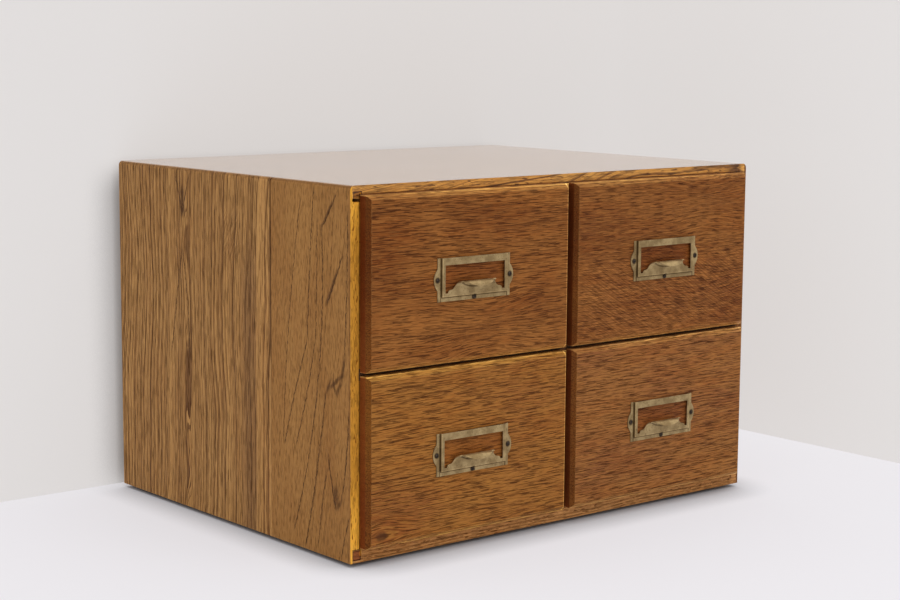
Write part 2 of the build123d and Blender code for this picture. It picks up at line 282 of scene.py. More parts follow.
# a knot is drawn out along its board and has a ragged rim
knotShape = dict(squeeze=0.55, rimScale=300.0, rim=0.002, fade=(-0.001, 0.0015))


def makeBendGroup():
    # spreads the grain lines apart round a knot, or draws them to a swirl where the bend is negative
    tree, given, made = newGroup(
        "grainBend", dict(boardPoint=origin, centre=origin, reach=0.02, bend=0.6, size=0.004),
        ["bentPoint", "knot"])
    x, y, z = split(given["boardPoint"])
    centreX, centreY, centreZ = split(given["centre"])
    long = times(less(x, centreX), knotShape["squeeze"])
    wide = less(y, centreY)
    apart = distance(long, wide)
    pull = less(1.0, times(fadeOut(apart, 0.0, given["reach"]), given["bend"]))
    feed(join(x, add(centreY, times(wide, pull)), z), made["bentPoint"])
    rim = times(sway(given["boardPoint"], knotShape["rimScale"]), knotShape["rim"])
    inside = less(add(apart, rim), given["size"])
    feed(fadeOut(inside, *knotShape["fade"]), made["knot"])
    return tree


wearShape = dict(ragged=0.004, raggedScale=90.0, speckScale=420.0, speckSteps=(0.36, 0.54))


def makeWearGroup():
    # arris is 1 on a squared piece's outer arrises, bevelLine on the inner line of a bevel round its face
    tree, given, made = newGroup(
        "arrisWear", dict(point=origin, centre=origin, halfSize=(1.0, 1.0, 1.0), reach=0.003, bevel=0.004),
        ["arris", "bevelLine"])
    centred = vectorCalc("SUBTRACT", given["point"], given["centre"])[0]
    gapX, gapY, gapZ = [less(half, calc("ABSOLUTE", part))
                        for part, half in zip(split(centred), split(given["halfSize"]))]
    low, high = calc("MINIMUM", gapX, gapY), calc("MAXIMUM", gapX, gapY)
    second = calc("MAXIMUM", low, calc("MINIMUM", high, gapZ))
    ragged = sway(given["point"], wearShape["raggedScale"], detail=3.0)
    second = add(second, times(ragged, wearShape["ragged"]))
    feed(fadeOut(second, 0.0, given["reach"]), made["arris"])
    inner = calc("ABSOLUTE", less(calc("MINIMUM", gapX, gapZ), given["bevel"]))
    near = fadeOut(inner, 0.0, given["reach"])
    specks = noise(given["point"], wearShape["speckScale"], detail=1.0)
    feed(times(near, ramp(specks, *wearShape["speckSteps"])), made["bevelLine"])
    return tree


rayShape = dict(slope=0.55, length=0.022, width=0.0016, steps=(0.4, 0.6))


def makeRayGroup():
    # slanting strokes where rays break the surface
    tree, given, made = newGroup("raySheen", dict(boardPoint=origin), ["stroke"])
    x, y, z = split(given["boardPoint"])
    along = less(x, times(y, rayShape["slope"]))
    across = add(y, times(x, rayShape["slope"]))
    along = calc("DIVIDE", along, rayShape["length"])
    across = calc("DIVIDE", across, rayShape["width"])
    strokes = noise(join(along, across, 0.0), detail=1.0)
    feed(ramp(strokes, *rayShape["steps"]), made["stroke"])
    return tree


lineShape = dict(ragged=0.003, raggedWaves=(0.0, 60.0, 190.0), core=0.3, rim=1.3, soft=0.0004,
                 dotWaves=(0.0, 420.0, 240.0), dotSteps=(0.4, 0.56), lowFade=(-0.004, 0.006),
                 highFade=(-0.006, 0.004))


def makeLineGroup():
    # one dark line of the grain up a side board: y follows at + lean z + bow z squared, broken into dots
    tree, given, made = newGroup(
        "grainLine",
        dict(point=origin, at=0.0, lean=0.0, bow=0.0, low=0.0, high=0.35, half=0.0004, dotted=0.6), ["line"])
    rule = lineShape
    x, y, z = split(given["point"])
    path = add(given["at"], times(z, add(given["lean"], times(z, given["bow"]))))
    ragged = times(sway(given["point"], rule["raggedWaves"]), rule["ragged"])
    apart = calc("ABSOLUTE", add(less(y, path), ragged))
    rim = add(times(given["half"], rule["rim"]), rule["soft"])
    line = fadeOut(apart, times(given["half"], rule["core"]), rim)
    line = times(line, ramp(less(z, given["low"]), *rule["lowFade"]))
    line = times(line, fadeOut(less(z, given["high"]), *rule["highFade"]))
    dots = ramp(noise(given["point"], rule["dotWaves"]), *rule["dotSteps"])
    gaps = times(less(1.0, dots), given["dotted"])
    feed(times(line, less(1.0, gaps)), made["line"])
    return tree


grainGroup = makeGrainGroup()
lineGroup = makeLineGroup()
bendGroup = makeBendGroup()
wearGroup = makeWearGroup()
rayGroup = makeRayGroup()
print("groups ready")

# how a board's grain lies: the turn from object to board coordinates, and the direction of the grain
upright = dict(turn=(0.0, 90.0, 0.0), along=(0, 0, 1))  # across Y
sideways = dict(turn=(-90.0, 0.0, 0.0), along=(1, 0, 0))  # across Z
flat = dict(turn=(0.0, 0.0, 0.0), along=(1, 0, 0))  # across Y
frontToBack = dict(turn=(-90.0, -90.0, 0.0), along=(0, 1, 0))  # across Z
flatToBack = dict(turn=(0.0, 0.0, -90.0), along=(0, 1, 0))  # across X


def facing(normal, direction, low, high):
    # 1 where the surface faces along the direction, either way
    cosine = vectorCalc("DOT_PRODUCT", normal, direction)["Value"]
    return ramp(calc("ABSOLUTE", cosine), low, high)


def patchMask(place, patch):
    # a soft-edged block round the patch's centre, or a ring about it where the patch has a radius
    mask = 1.0
    if "radius" in patch:
        x, y, z = split(vectorCalc("SUBTRACT", place, patch["centre"])[0])
        apart = calc("ABSOLUTE", less(distance(x, z), patch["radius"]))
        mask = fadeOut(apart, patch["band"], patch["band"] + patch["soft"])
    for part, centre, half, fade in zip(split(place), patch["centre"], patch["half"], patch["fade"]):
        if half is not None:
            apart = calc("ABSOLUTE", less(part, centre))
            mask = times(fadeOut(apart, half, half + fade), mask)
    return mask


def addPatches(place, colour, patches):
    for patch in patches:
        amount = times(patchMask(place, patch), patch["amount"])
        colour = blendColour(amount, colour, patch["tint"], mode="MULTIPLY")
    return colour


def newMaterial(name):
    material = bpy.data.materials.new(name)
    material.use_nodes = True
    bench["tree"] = material.node_tree
    return material, material.node_tree.nodes["Principled BSDF"]


# how squarely a surface has to face a direction before it counts as an end, an edge and so on
faceSteps = dict(end=(0.85, 0.97), slant=(0.3, 0.6), edge=(0.6, 0.9), level=(0.8, 0.95), upper=(0.7, 0.95))
woodRules = dict(slantCalm=0.5, dashSteps=(0.63, 0.69), dashAmount=0.8, thinLine=0.0012, thinDots=0.55,
                 smearDots=0.2, knotAmount=0.8, poreRough=0.25, cloudRough=0.08, ringHollow=0.5, bump=0.0004)


def makeWood(name, node, look):
    material, shader = newMaterial(name)
    rule = woodRules
    coordinates = addNode("ShaderNodeTexCoord").outputs
    place, normal = coordinates["Object"], coordinates["Normal"]
    angles = [math.radians(angle) for angle in look["lay"]["turn"]]
    straightPoint = addNode("ShaderNodeMapping", {"Vector": place, "Rotation": angles}).outputs[0]
    boardPoint = straightPoint
    knots = []
    for knot in look.get("knots", ()):
        bend = placeGroup(bendGroup, boardPoint=boardPoint, **knot)
        boardPoint = bend["bentPoint"]
        knots.append(bend["knot"])
    masks = placeGroup(grainGroup, boardPoint=boardPoint, **{
        key: value for key, value in look.items() if isinstance(value, float)})
    low, high = look.get("box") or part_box(node)
    wear = placeGroup(wearGroup, point=place, centre=(low + high) / 2, halfSize=(high - low) / 2,
                      reach=look["wearReach"], bevel=look.get("bevel", 0.0))

    def lay(mask, amount, colour, over, mode="MIX"):
        return blendColour(times(mask, amount), colour, over, mode=mode)

    def faces(direction, kind):
        return facing(normal, direction, *faceSteps[kind])

    base, light, dark = look["base"], look["light"], look["dark"]
    ends = faces(look["lay"]["along"], "end")
    slantEnds = less(faces(look["lay"]["along"], "slant"), ends)
    calm = add(ends, times(slantEnds, rule["slantCalm"]))
    calm = less(1.0, times(calm, look["endCalm"]))
    if "edgeBase" in look:
        # the planed front edge of a case board is another colour than its face
        edge = faces((0, 1, 0), "edge")
        base = blendColour(edge, base, look["edgeBase"])
        light = blendColour(edge, light, look["edgeLight"])
        dark = blendColour(edge, dark, look["edgeDark"])
    colour = lay(masks["cloud"], look["cloud"], base, light)
    colour = lay(masks["blush"], look["blushAmount"], colour, look["blush"], "MULTIPLY")
    colour = lay(masks["ringTone"], look["ringTone"], colour, dark)
    colour = lay(masks["streak"], times(calm, look["streak"]), colour, light)
    colour = lay(masks["ring"], times(calm, look["ring"]), colour, dark)
    colour = lay(masks["pore"], times(calm, look["pore"]), colour, look["poreColour"])
    if "edgeBase" in look:
        dashes = ramp(noise(place, look["edgeDash"], detail=1.0), *rule["dashSteps"])
        colour = lay(times(dashes, edge), rule["dashAmount"], colour, look["edgeDark"])
    for at, lean, bow, lowest, highest, half in look.get("lines", ()):
        thin = half < rule["thinLine"]
        line = placeGroup(lineGroup, point=place, at=at, lean=lean, bow=bow, low=lowest, high=highest,
                          half=half, dotted=rule["thinDots"] if thin else rule["smearDots"])["line"]
        line = times(line, faces((1, 0, 0), "edge"))
        colour = lay(line, look["lineAmount"] if thin else look["smearAmount"], colour, look["lineColour"])
    for knot in knots:
        colour = lay(knot, rule["knotAmount"], colour, look["knotColour"])
    fibre = add(times(masks["fibre"], look["fibre"]), 1.0 - look["fibre"] / 2)
    colour = blendColour(1.0, colour, join(fibre, fibre, fibre), mode="MULTIPLY")
    colour = addPatches(place, colour, look.get("patches", ()))
    if "rays" in look:
        strokes = placeGroup(rayGroup, boardPoint=straightPoint)["stroke"]
        stroked = blendColour(strokes, look["rays"]["low"], look["rays"]["high"])
        colour = lay(patchMask(place, look["rays"]), 1.0, colour, stroked, "MULTIPLY")
    if "bevel" in look:
        # painted light: the bevels along the grain, which face up and down, are made lighter
        slant = less(faces((0, 0, 1), "slant"), faces((0, 0, 1), "level"))
        colour = lay(slant, 1.0, colour, look["bevelTint"], "MULTIPLY")
    # end grain drinks more stain
    colour = lay(ends, 1.0, colour, look["endTint"], "MULTIPLY")
    colour = lay(slantEnds, 1.0, colour, look["slantEndTint"], "MULTIPLY")
    # arris wear; on the drawer fronts its light colour, and the specks on the bevel line, are worn stain and
    # partly a painted highlight
    colour = lay(wear["arris"], look["wear"], colour, look["wearColour"])
    if "bevel" in look:
        colour = lay(wear["bevelLine"], look["bevelWear"], colour, look["wearColour"])
    feed(colour, shader.inputs["Base Color"])
    rough = add(times(masks["pore"], rule["poreRough"]), look["rough"])
    rough = calc("ADD", rough, times(masks["cloud"], rule["cloudRough"]), clamp=True)
    feed(rough, shader.inputs["Roughness"])
    hollow = add(masks["pore"], times(masks["ring"], rule["ringHollow"]))
    addBump(shader, less(1.0, hollow), look["relief"], rule["bump"])
    feed(look["gloss"], shader.inputs["Specular IOR Level"])
    if "coat" in look:
        # only the upper face was varnished and polished
        feed(times(faces((0, 0, 1), "upper"), look["coat"]), shader.inputs["Coat Weight"])
        feed(look["coatRough"], shader.inputs["Coat Roughness"])
    return material


def dress(piece, material):
    piece.data.materials.clear()
    piece.data.materials.append(material)


def titled(name, ending):
    words = name.replace("_", " ").title().replace(" ", "") + ending
    return words[0].lower() + words[1:]


# points nearer than weldGap are one, a point within nearBy of a plane counts as on it, and faces that meet at
# more than sharpAngle degrees have an arris, while those under flatAngle are one face
weldGap, nearBy, sharpAngle, flatAngle = 0.000001, 0.0002, 40, 1


def soften(piece, width):
    # a live weld and bevel take the sharpness off the arrises
    weld = piece.modifiers.new("weld", "WELD")
    weld.merge_threshold = weldGap
    bevel = piece.modifiers.new("softArris", "BEVEL")
    bevel.width = width
    bevel.segments = 2
    bevel.limit_method = "ANGLE"
    bevel.angle_limit = math.radians(sharpAngle)


def link(piece):
    bpy.context.scene.collection.objects.link(piece)


def activate(piece):
    bpy.ops.object.select_all(action="DESELECT")
    piece.select_set(True)
    bpy.context.view_layer.objects.active = piece


def pick(piece, kind, wanted):
    # a part is only ever switched on, because switching a face off takes its neighbours' corners with it
    bpy.ops.mesh.select_mode(type=kind)
    bpy.ops.mesh.select_all(action="DESELECT")
    shape = bmesh.from_edit_mesh(piece.data)
    for part in shape.faces if kind == "FACE" else shape.verts:
        if wanted(part):
            part.select = True
    shape.select_flush_mode()
    bmesh.update_edit_mesh(piece.data)


# case boards

caseOak = dict(
    base=paint(183, 134, 76), light=paint(198, 150, 90), dark=paint(70, 30, 5), poreColour=paint(60, 32, 8),
    blush=tint(0.9, 0.84, 0.8), wearColour=paint(160, 116, 66), knotColour=paint(74, 42, 22),
    endTint=tint(0.5, 0.45, 0.42), slantEndTint=tint(0.7, 0.65, 0.6), lineColour=paint(66, 38, 18),
    edgeDash=(560.0, 560.0, 130.0), endCalm=0.5, lineAmount=0.9, smearAmount=0.72, blushAmount=0.5,
    cloud=0.6, ring=1.0, ringTone=0.26, pore=0.7, streak=0.4, fibre=0.4, wear=0.3, wearReach=0.0015,
    rough=0.4, relief=0.35, gloss=0.06, spacing=0.006, across=-0.3, depth=0.05, taper=0.0, drift=0.0,
    wander=0.03, ripple=0.0035, softness=0.53, fineRings=0.7, broken=0.35, dashLength=0.03, poreLength=0.02,
    poreWidth=0.0016, crowding=0.5, seed=1.0)
amber = dict(edgeBase=paint(238, 171, 59), edgeLight=paint(246, 183, 74), edgeDark=paint(128, 70, 14))
honey = dict(edgeBase=paint(214, 149, 64), edgeLight=paint(232, 171, 82), edgeDark=paint(84, 42, 10),
             edgeDash=(110.0, 600.0, 600.0))
darkEdge = dict(edgeBase=paint(128, 80, 40), edgeLight=paint(148, 98, 52), edgeDark=paint(74, 40, 16))
# the front of the case, and the tint of the painted shade, with some dirt, in its corners
caseFront, shadeAndDust = -0.192, tint(0.22, 0.12, 0.07)
seam = dict(centre=(0.0, -0.065, 0.3), half=(None, 0.0006, 0.06), fade=(None, 0.0008, 0.14), amount=1.0,
            tint=tint(0.16, 0.08, 0.05))
jointLine = dict(fade=(0.0006, 0.0006, 0.0006), amount=0.85, tint=tint(0.24, 0.14, 0.1))


def squareLines(centreX, centreZ, half, tone):
    # the dark outline of a corner joint's tongue, on the front of the case, and its end grain within
    thin, deep = 0.0003, 0.001
    return [dict(jointLine, centre=(centreX + offX, caseFront, centreZ + offZ),
                 half=(thin if offX else half, deep, thin if offZ else half))
            for offX, offZ in ((half, 0), (-half, 0), (0, half), (0, -half))] + [
        dict(jointLine, centre=(centreX, caseFront, centreZ), half=(half, deep, half), amount=1.0, tint=tone)]


cornerJoints = squareLines(-0.2552, 0.343, 0.0044, tint(0.52, 0.44, 0.38))
cornerJoints += squareLines(-0.2562, 0.011, 0.0042, tint(0.6, 0.42, 0.42))
# painted shade, with some dirt, in the corner where a drawer's lip meets the case
lipShadeLines = [dict(centre=(0.0, caseFront, height), half=(0.253, 0.0008, 0.0003), fade=(0.001, 0.0005, 0.0008),
                 amount=0.9, tint=shadeAndDust) for height in (0.3448, 0.0168)]
lipShadeLines += [dict(centre=(hand * 0.2532, caseFront, 0.181), half=(0.0002, 0.0008, 0.164),
                  fade=(0.0006, 0.0005, 0.001), amount=0.9, tint=shadeAndDust) for hand in (-1, 1)]
frontArris = dict(centre=(0.0, -0.1915, 0.19), half=(None, 0.0006, 0.09), fade=(None, 0.0014, 0.07),
                  amount=0.6, tint=tint(0.4, 0.3, 0.25))
shadedBand = dict(centre=(0.0, -0.027, 0.12), half=(None, 0.01, 0.13), fade=(None, 0.006, 0.06), amount=0.8,
                  tint=tint(0.76, 0.74, 0.8))
lightBand = dict(centre=(0.0, -0.055, 0.175), half=(None, 0.006, None), fade=(None, 0.0045, None),
                 amount=0.8, tint=tint(1.1, 1.08, 1.06))
rayPatch = dict(centre=(0.0, 0.004, 0.294), half=(None, 0.01, 0.016), fade=(None, 0.01, 0.014),
                low=tint(0.74, 0.7, 0.66), high=tint(1.14, 1.17, 1.24))
crack = dict(centre=(0.0, 0.184, 0.338), half=(None, 0.0002, 0.01), fade=(None, 0.001, 0.008), amount=0.7,
             tint=tint(0.35, 0.28, 0.22))

# the dark lines and flame tips of the left side: at, lean, bow, lowest, highest and half width
frontBoardLines = [
    (-0.0839, 0.022, -0.338, 0.103, 0.336, 0.0005), (-0.1243, 0.043, -0.221, 0.205, 0.35, 0.0007),
    (-0.0643, -0.169, -0.626, 0.099, 0.205, 0.0008), (-0.1298, -0.053, 0.054, 0.206, 0.32, 0.0005),
    (-0.0594, -0.541, 0.782, 0.101, 0.206, 0.0007), (0.2434, -1.77, 1.645, 0.31, 0.347, 0.0007),
    (0.2444, -1.77, 1.645, 0.312, 0.338, 0.0021), (-0.0949, -0.41, 0.768, 0.019, 0.312, 0.0007),
    (0.0295, -0.987, 0.904, 0.241, 0.291, 0.0008), (0.0305, -0.987, 0.904, 0.243, 0.276, 0.0021),
    (-0.1195, -0.283, 0.404, 0.006, 0.16, 0.0009), (-0.1534, -0.218, 0.344, 0.196, 0.33, 0.0007),
    (0.0189, -1.974, 4.815, 0.173, 0.196, 0.0022), (-0.0891, -0.517, 0.0, 0.159, 0.173, 0.0026),
    (-0.2319, 0.387, 0.0, 0.159, 0.174, 0.0018), (-0.0818, -0.463, 0.0, 0.159, 0.174, 0.0016),
    (-0.1565, -0.445, 1.504, 0.061, 0.147, 0.0008), (-0.1378, -0.652, 0.0, 0.051, 0.062, 0.0026),
    (-0.1863, 0.368, -0.835, 0.051, 0.103, 0.0009), (-0.1412, -0.088, -0.958, 0.011, 0.087, 0.0007),
    (-0.1769, -0.2, -2.09, 0.006, 0.049, 0.0008), (-0.173, 0.05, 0.0, 0.054, 0.074, 0.0042),
    (0.0512, -1.29, 0.0, 0.162, 0.179, 0.0036)]
rearBoardLines = [
    (0.2625, -1.309, 2.471, 0.307, 0.348, 0.0011), (-0.0242, 1.008, -2.05, 0.307, 0.347, 0.0009),
    (0.0922, 0.0, 0.0, 0.304, 0.334, 0.0042), (0.1454, -0.17, -0.076, 0.163, 0.27, 0.0008),
    (0.1028, -0.277, 0.887, 0.158, 0.27, 0.0008)]

caseBoards = {
    "left_side_rear_board": dict(
        amber, lay=upright, across=-0.3, drift=-0.02, flameAcross=0.092, flameWidth=0.01,
        flameHeight=-0.01, patches=[seam, shadedBand, lightBand, crack], lines=rearBoardLines, rays=rayPatch,
        seed=1.0),
    "left_side_front_board": dict(
        amber, lay=upright, base=paint(156, 109, 57), light=paint(170, 123, 68), across=-0.45, spacing=0.0052,
        drift=-0.1, wander=0.012, ripple=0.002, softness=0.4, fineRings=0.3, broken=0.85, dashLength=0.008,
        ring=0.3, pore=0.52, poreLength=0.008, poreWidth=0.0012, ringTone=0.04, streak=0.3, cloud=0.8,
        lines=frontBoardLines, patches=[seam, frontArris] + cornerJoints + lipShadeLines, seed=4.0),
    "right_side_rear_board": dict(
        amber, lay=upright, across=-0.33, flameAcross=0.03, flameWidth=0.014, flameHeight=-0.009, seed=7.0),
    "right_side_front_board": dict(
        darkEdge, lay=upright, across=-0.42, spacing=0.012, drift=0.12, flameAcross=-0.12, flameWidth=0.012,
        flameHeight=0.008, softness=0.25, fineRings=0.2, patches=lipShadeLines, seed=9.0),
    "top_board": dict(
        honey, lay=flat, base=paint(180, 130, 68), light=paint(192, 144, 82), across=-0.24, depth=0.3,
        taper=0.15, spacing=0.004, rough=0.3, softness=0.35, relief=0.1, coat=1.0, coatRough=0.12, gloss=0.3,
        patches=cornerJoints + lipShadeLines, seed=12.0),
    "bottom_board": dict(
        honey, lay=flat, edgeBase=paint(196, 136, 76), edgeLight=paint(212, 156, 96), across=-0.19,
        depth=-0.12, spacing=0.0034, pore=0.6, poreLength=0.009, wander=0.012, ripple=0.0008, softness=0.5,
        broken=0.25, patches=cornerJoints + lipShadeLines, seed=15.0),
}
for node, own in caseBoards.items():
    dress(nodes[node], makeWood(titled(node, "Oak"), node, {**caseOak, **own}))
print("case boards dressed")

# drawer fronts

# the fronts' light wear colour on arrises and bevel lines is worn stain and partly a painted highlight
frontOak = dict(
    caseOak, lay=sideways, base=paint(131, 77, 31), light=paint(160, 104, 50), dark=paint(62, 27, 5),
    poreColour=paint(56, 23, 5), blush=tint(0.94, 0.78, 0.62), wearColour=paint(196, 148, 88),
    bevelTint=tint(1.45, 1.66, 1.62), endTint=tint(0.62, 0.42, 0.4), slantEndTint=tint(0.57, 0.48, 0.34),
    endCalm=0.75, bevel=0.0041, ring=0.6, ringTone=0.12, pore=0.95, streak=0.5, fibre=0.5, spacing=0.0032,
    softness=0.42, fineRings=0.5, broken=0.7, dashLength=0.018, poreLength=0.017, poreWidth=0.00085,
    crowding=0.35, wander=0.05, ripple=0.003, wear=0.6, wearReach=0.0009, bevelWear=0.12, rough=0.38)
# painted shade on the wood seen through a pull's card window
windowShade = dict(half=(0.037, None, 0.0135), fade=(0.001, None, 0.001), amount=0.9,
                   tint=tint(0.86, 0.74, 0.7))
# light flecks of rays on the lower half of one front
rayFlecks = dict(centre=(0.13, -0.2, 0.225), half=(0.1, None, 0.02), fade=(0.03, None, 0.035),
                 low=tint(0.78, 0.75, 0.72), high=tint(1.26, 1.3, 1.4))
# how far the lips reach past the box's height, and how round their arrises are
lipShape = dict(upper=dict(top=0.0008, bottom=-0.001), lower=dict(top=0.001, bottom=0.0), bevel=0.0041,
                arris=0.0005)
# a painted highlight, partly worn stain, as a light line on the outer arrises, and stronger beside the middle
# of the case
arrisHighlight = dict(tint=tint(2.2, 2.8, 3.4), amount=0.5)
wornHighlightLine = dict(half=0.0005, fade=0.0005, inset=0.0003, inner=0.9, outer=0.3)

frontLooks = {
    "top_left_drawer": dict(
        across=0.62, depth=0.24, taper=0.05, seed=21.0, base=paint(122, 69, 28), cloud=0.8,
        knots=[dict(centre=(-0.11, 0.214, 0.0), reach=0.045, bend=-0.6, size=-1.0)]),
    "top_right_drawer": dict(
        across=0.7, depth=0.22, taper=-0.06, seed=24.0, base=paint(124, 73, 34), rays=rayFlecks,
        knots=[dict(centre=(0.187, 0.318, 0.0), reach=0.04, bend=-0.5, size=-1.0),
               dict(centre=(0.19, 0.2, 0.0), reach=0.05, bend=-0.4, size=-1.0)]),
    "bottom_left_drawer": dict(
        across=0.45, depth=0.24, taper=0.05, seed=27.0, base=paint(144, 88, 42), light=paint(172, 117, 52),
        knots=[dict(centre=(-0.2365, 0.0285, 0.0), reach=0.03, bend=0.85, size=0.0035)]),
    "bottom_right_drawer": dict(
        across=0.54, depth=0.25, taper=-0.05, seed=30.0, base=paint(145, 91, 50), light=paint(166, 112, 56)),
}


def shapeFront(drawer):
    # a copy of the front whose upper and lower lips reach a little further, with its arrises rounded
    node = f"{drawer}_front"
    low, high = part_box(node)
    reach = lipShape["upper" if drawer.startswith("top") else "lower"]
    front = bpy.data.objects.new(f"{drawer}_lipped_front", nodes[node].data.copy())
    link(front)
    activate(front)
    bpy.ops.object.mode_set(mode="EDIT")
    bpy.ops.mesh.select_all(action="SELECT")
    bpy.ops.mesh.remove_doubles(threshold=weldGap)
    bpy.ops.mesh.dissolve_limited(angle_limit=math.radians(flatAngle))
    for side, edge in (("top", high.z), ("bottom", low.z)):
        pick(front, "VERT", lambda corner: abs(corner.co.z - edge) < nearBy or (
            corner.co.y < low.y + nearBy and abs(corner.co.z - edge) < lipShape["bevel"] + nearBy))
        bpy.ops.transform.translate(value=(0, 0, reach[side]))
    bpy.ops.object.mode_set(mode="OBJECT")
    soften(front, lipShape["arris"])
    for modifier in list(front.modifiers):
        bpy.ops.object.modifier_apply(modifier=modifier.name)
    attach(front, drawer)
    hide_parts(node)
    return front, (low + Vector((0, 0, reach["bottom"])), high + Vector((0, 0, reach["top"])))


def arrisHighlightLines(low, high):
    # painted highlights where hands have also worn the stain off: the right inner bevel line, and the upper
    # and lower arrises
    middle, line = (low + high) / 2, wornHighlightLine
    half, fade, inset = line["half"], line["fade"], line["inset"]
    beside = dict(arrisHighlight, half=(half, None, None), fade=(fade, None, None),
                  amount=line["inner"] if high.x < 0 else line["outer"])
    across = dict(arrisHighlight, half=(None, None, half), fade=(None, None, fade))
    return [dict(beside, centre=(high.x - lipShape["bevel"], middle.y, middle.z)),
            dict(across, centre=(middle.x, middle.y, low.z + inset)),
            dict(across, centre=(middle.x, middle.y, high.z - inset))]


for drawer, own in frontLooks.items():
    node = f"{drawer}_front"
    low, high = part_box(f"{drawer}_pull")
    front, own["box"] = shapeFront(drawer)
    own["patches"] = [dict(windowShade, centre=(low + high) / 2)] + arrisHighlightLines(*own["box"])
    dress(front, makeWood(titled(node, "Oak"), node, {**frontOak, **own}))
print("drawer fronts ready")

# bare woods inside, behind and below

bareWood = dict(
    caseOak, base=paint(180, 142, 96), light=paint(198, 162, 116), dark=paint(140, 102, 60),
    poreColour=paint(110, 76, 44), wearColour=paint(150, 116, 78), endTint=tint(0.75, 0.7, 0.66), ring=0.5,
    ringTone=0.15, pore=0.35, rough=0.62, relief=0.4, gloss=0.2, spacing=0.005)
dividerTones = dict(base=paint(86, 50, 26), light=paint(104, 64, 36), dark=paint(58, 32, 14))
backTones = dict(base=paint(128, 90, 52), light=paint(146, 108, 68), dark=paint(88, 56, 28),
                 poreColour=paint(66, 42, 24))
# the rails are made dark, a painted shade for the gaps between the drawer fronts
railShadeTones = dict(base=paint(72, 47, 27), light=paint(88, 60, 36), dark=paint(46, 28, 14),
                 poreColour=paint(36, 22, 12), wearColour=paint(82, 56, 34))
runnerTones = dict(base=paint(144, 106, 66), light=paint(164, 124, 82), dark=paint(106, 72, 40))
stripTones = dict(base=paint(62, 44, 30), light=paint(80, 58, 40), dark=paint(38, 26, 18),
                  poreColour=paint(28, 20, 14), wearColour=paint(82, 60, 42))
bottomTone = paint(186, 150, 104)

bareLooks = {
    "centre_divider": dict(dividerTones, lay=upright, seed=41.0),
    "back_panel": dict(
        backTones, lay=sideways, rough=0.5, depth=0.3, across=0.16, wander=0.08, spacing=0.012, seed=43.0),
}
firstSeed = 60.0
for name in nodes:
    own = None
    if "dust_frame" in name:
        own = dict(railShadeTones, lay=flat) if "rail" in name else dict(runnerTones, lay=flatToBack)
    elif name.endswith(("drawer_left_side", "drawer_right_side")):
        own = dict(lay=frontToBack)
    elif name.endswith("drawer_back"):
        own = dict(lay=sideways)
    elif name.endswith("drawer_bottom"):
        own = dict(lay=flat, base=bottomTone)
    elif name.startswith("base_strip") and name != "base_strip_brads":
        own = dict(stripTones, lay=flat if name.endswith(("front", "rear")) else flatToBack)
    if own:
        bareLooks[name] = dict(own, seed=firstSeed + len(bareLooks))
for node, own in bareLooks.items():
    dress(nodes[node], makeWood(titled(node, "Wood"), node, {**bareWood, **own}))
print("bare woods dressed")


# metals

tarnishShape = dict(patchSteps=(0.34, 0.66), speckSteps=(0.52, 0.72), streakWaves=(60.0, 300.0, 900.0),
                    streakSteps=(0.35, 0.65), streakRough=0.16, speckRough=0.15, bump=0.0002)


def makeTarnishGroup():
    tree, given, made = newGroup(
        "tarnish", dict(point=origin, seed=0.0, patchSize=0.02, speckSize=0.0015),
        ["patch", "speck", "streak"])
    seed, rule = given["seed"], tarnishShape
    point = shift(given["point"], join(seed, times(seed, 1.7), seed))
    perPatch = calc("DIVIDE", 1.0, given["patchSize"])
    perSpeck = calc("DIVIDE", 1.0, given["speckSize"])
    patch = noise(point, join(perPatch, perPatch, perPatch), detail=4.0, roughness=0.6)
    speck = noise(point, join(perSpeck, perSpeck, perSpeck))
    streak = noise(point, rule["streakWaves"])
    feed(ramp(patch, *rule["patchSteps"]), made["patch"])
    feed(ramp(speck, *rule["speckSteps"]), made["speck"])
    feed(ramp(streak, *rule["streakSteps"]), made["streak"])
    return tree


tarnishGroup = makeTarnishGroup()


def makeMetal(name, look, patches=()):
    material, shader = newMaterial(name)
    place = addNode("ShaderNodeTexCoord").outputs["Object"]
    masks = placeGroup(tarnishGroup, point=place, seed=look["seed"], patchSize=look["patchSize"])
    colour = blendColour(masks["patch"], look["base"], look["worn"])
    colour = blendColour(times(masks["speck"], look["speck"]), colour, look["dark"])
    colour = addPatches(place, colour, patches)
    feed(colour, shader.inputs["Base Color"])
    rough = add(times(masks["streak"], tarnishShape["streakRough"]), look["rough"])
    rough = calc("ADD", rough, times(masks["speck"], tarnishShape["speckRough"]), clamp=True)
    feed(rough, shader.inputs["Roughness"])
    addBump(shader, masks["patch"], look["relief"], tarnishShape["bump"])
    feed(look["metallic"], shader.inputs["Metallic"])
    return material


# measures of a pull from its middle: its raised frame, its screws and the rolled edge of its tab
pullShape = dict(frameSide=0.04005, frameLow=-0.0161, frameHalf=0.0205, screwSide=0.04445, screwLow=-0.0183,
                 crest=-0.0017, rollDrop=0.0052, rollArc=0.0348, rollFront=-0.2145, rollHalf=0.0045,
                 tabHalf=0.017, arcLower=0.0012, outside=0.0006, inside=0.0005)
# dirt and painted shade beside the raised frame, a painted highlight with worn metal on the arris next to it,
# and dirt round the screws
grimeAndShade = dict(tint=tint(0.34, 0.3, 0.26), amount=0.9)
dirtSpot = dict(grimeAndShade, radius=0.0, band=0.0024, soft=0.0012, half=(None, None, None), fade=(None, None, None))
rubbedHighlight = dict(tint=tint(1.3, 1.3, 1.3), amount=0.8)
pullLook = dict(base=paint(140, 117, 79), worn=paint(178, 154, 110), dark=paint(84, 62, 36), speck=0.4,
                patchSize=0.012, rough=0.34, relief=0.15, metallic=0.85)


